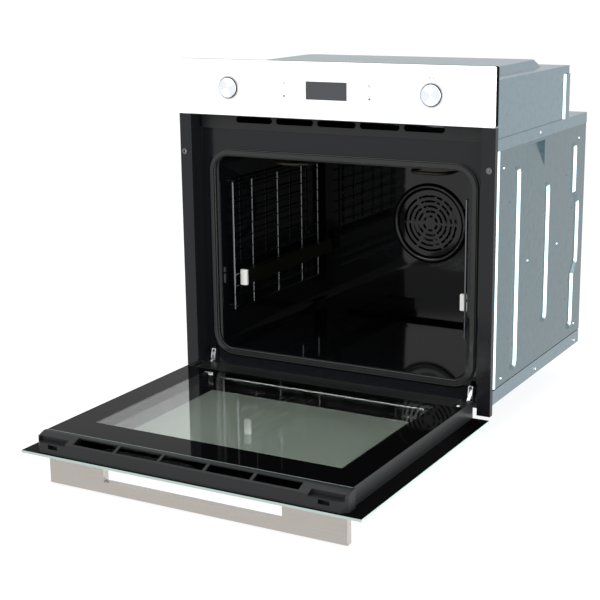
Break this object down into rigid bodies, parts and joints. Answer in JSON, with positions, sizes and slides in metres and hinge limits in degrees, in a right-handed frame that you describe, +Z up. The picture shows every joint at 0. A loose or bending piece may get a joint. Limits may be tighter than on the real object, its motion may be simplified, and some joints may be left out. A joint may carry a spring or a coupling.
{
  "type": "wall oven",
  "caption": "Built-in electric oven with a drop-down glass door, control panel with two knobs, side racks with a telescopic runner and a convection fan.",
  "frame": {"origin": "middle of the oven's width, on the plane where the front frame meets the cabinet front, level with the underside of the base", "axes": "X to the right as seen from the front, Y to the back, Z up; the rest pose has the door open flat towards -Y"},
  "size_m": [0.595, 0.982, 0.6309],
  "materials": {
    "black_enamel": "gloss enamel",
    "cavity_enamel": "gloss enamel",
    "galvanised_steel": "galvanised sheet, satin",
    "stainless_steel": "brushed",
    "chrome_wire": "polished",
    "hinge_steel": "bright zinc plated",
    "white_glass": "white back-printed float glass, polished",
    "door_glass": "back-printed float glass with a reflecting window, polished",
    "clear_glass": "clear float glass",
    "display_glass": "dark, polished",
    "lamp_glass": "pressed glass",
    "black_plastic": "fine matt",
    "white_plastic": "satin",
    "bezel_chrome": "polished",
    "knob_aluminium": "spun face, satin",
    "seal_rubber": "matt silicone",
    "element_sheath": "dark oxidised sheath",
    "glass_wool": "loose glass wool",
    "ceramic": "glazed",
    "green_board": "printed board",
    "runner_steel": "dark oiled steel"
  },
  "bodies": {
    "body": {"front_frame": "black_enamel", "cabinet_bushes": "bezel_chrome", "vent_grille": "black_plastic", "cavity_liner": "cavity_enamel", "cavity_back": "cavity_enamel", "fan_cover": "cavity_enamel", "door_seal": "seal_rubber", "grill_element": "element_sheath", "base_element": "element_sheath", "ring_element": "element_sheath", "convection_motor": "galvanised_steel", "oven_lamp": "ceramic", "lamp_lens": "lamp_glass", "insulation": "glass_wool", "side_panels": "galvanised_steel", "base_panel": "galvanised_steel", "rear_panel": "galvanised_steel", "terminal_block": "black_plastic", "body_cover": "galvanised_steel", "control_housing": "galvanised_steel", "top_cover": "galvanised_steel", "blower_housing": "galvanised_steel", "blower_motor": "galvanised_steel", "air_duct": "galvanised_steel", "control_glass": "white_glass", "display_window": "display_glass", "panel_carrier": "black_plastic", "knob_bezels": "bezel_chrome", "thermostat": "white_plastic", "selector_switch": "black_plastic", "control_board": "green_board", "side_racks": "chrome_wire", "runner_rails": "runner_steel", "casing_screws": "hinge_steel", "hinge_arms": "hinge_steel", "hinge_receivers": "hinge_steel"},
    "door": {"door_outer_glass": "door_glass", "door_middle_glass": "clear_glass", "door_inner_glass": "clear_glass", "glass_spacers": "black_plastic", "door_side_rails": "black_enamel", "door_base_rail": "black_enamel", "door_trim": "black_plastic", "door_hinges": "hinge_steel", "door_handle": "stainless_steel", "handle_screws": "hinge_steel"},
    "left_spindle": {"left_spindle": "hinge_steel"},
    "left_knob": {"left_knob": "knob_aluminium"},
    "right_spindle": {"right_spindle": "hinge_steel"},
    "right_knob": {"right_knob": "knob_aluminium"},
    "convection_fan": {"convection_fan": "hinge_steel"},
    "blower_impeller": {"blower_impeller": "black_plastic"},
    "left_latch": {"left_latch": "hinge_steel"},
    "right_latch": {"right_latch": "hinge_steel"},
    "left_runner": {"left_runner_slide": "runner_steel", "left_runner_cap": "white_plastic"},
    "left_runner_middle": {"left_runner_middle": "runner_steel"},
    "right_runner": {"right_runner_slide": "runner_steel", "right_runner_cap": "white_plastic"},
    "right_runner_middle": {"right_runner_middle": "runner_steel"}
  },
  "joints": [
    {"name": "door_hinge", "type": "hinge", "parent": "body", "child": "door", "pos_m": [0, -0.007, 0.001], "axis": [-1, 0, 0], "range_deg": [0, 90]},
    {"name": "left_turn", "type": "hinge", "parent": "body", "child": "left_spindle", "pos_m": [-0.19, -0.018, 0.5225], "axis": [0, -1, 0], "continuous": true},
    {"name": "left_pop", "type": "slide", "parent": "left_spindle", "child": "left_knob", "axis": [0, -1, 0], "range_m": [0, 0.014]},
    {"name": "right_turn", "type": "hinge", "parent": "body", "child": "right_spindle", "pos_m": [0.19, -0.018, 0.5225], "axis": [0, -1, 0], "range_deg": [0, 270]},
    {"name": "right_pop", "type": "slide", "parent": "right_spindle", "child": "right_knob", "axis": [0, -1, 0], "range_m": [0, 0.014]},
    {"name": "convection_fan_spin", "type": "hinge", "parent": "body", "child": "convection_fan", "pos_m": [0, 0.43, 0.228], "axis": [0, 1, 0], "continuous": true},
    {"name": "blower_spin", "type": "hinge", "parent": "body", "child": "blower_impeller", "pos_m": [0, 0.23, 0.46], "axis": [0, 0, 1], "continuous": true},
    {"name": "left_latch_flip", "type": "hinge", "parent": "body", "child": "left_latch", "pos_m": [-0.254, 0.012, 0.024], "axis": [-1, 0, 0], "range_deg": [-75, 0]},
    {"name": "right_latch_flip", "type": "hinge", "parent": "body", "child": "right_latch", "pos_m": [0.254, 0.012, 0.024], "axis": [-1, 0, 0], "range_deg": [-75, 0]},
    {"name": "left_runner_out", "type": "slide", "parent": "body", "child": "left_runner", "axis": [0, 1, 0], "range_m": [-0.3, 0]},
    {"name": "left_runner_middle_out", "type": "slide", "parent": "body", "child": "left_runner_middle", "axis": [0, 1, 0], "range_m": [-0.15, 0]},
    {"name": "right_runner_out", "type": "slide", "parent": "body", "child": "right_runner", "axis": [0, 1, 0], "range_m": [-0.3, 0]},
    {"name": "right_runner_middle_out", "type": "slide", "parent": "body", "child": "right_runner_middle", "axis": [0, 1, 0], "range_m": [-0.15, 0]}
  ],
  "couplings": [
    {"joint": "left_runner_middle_out", "follows": "left_runner_out", "ratio": 0.5},
    {"joint": "right_runner_middle_out", "follows": "right_runner_out", "ratio": 0.5}
  ]
}
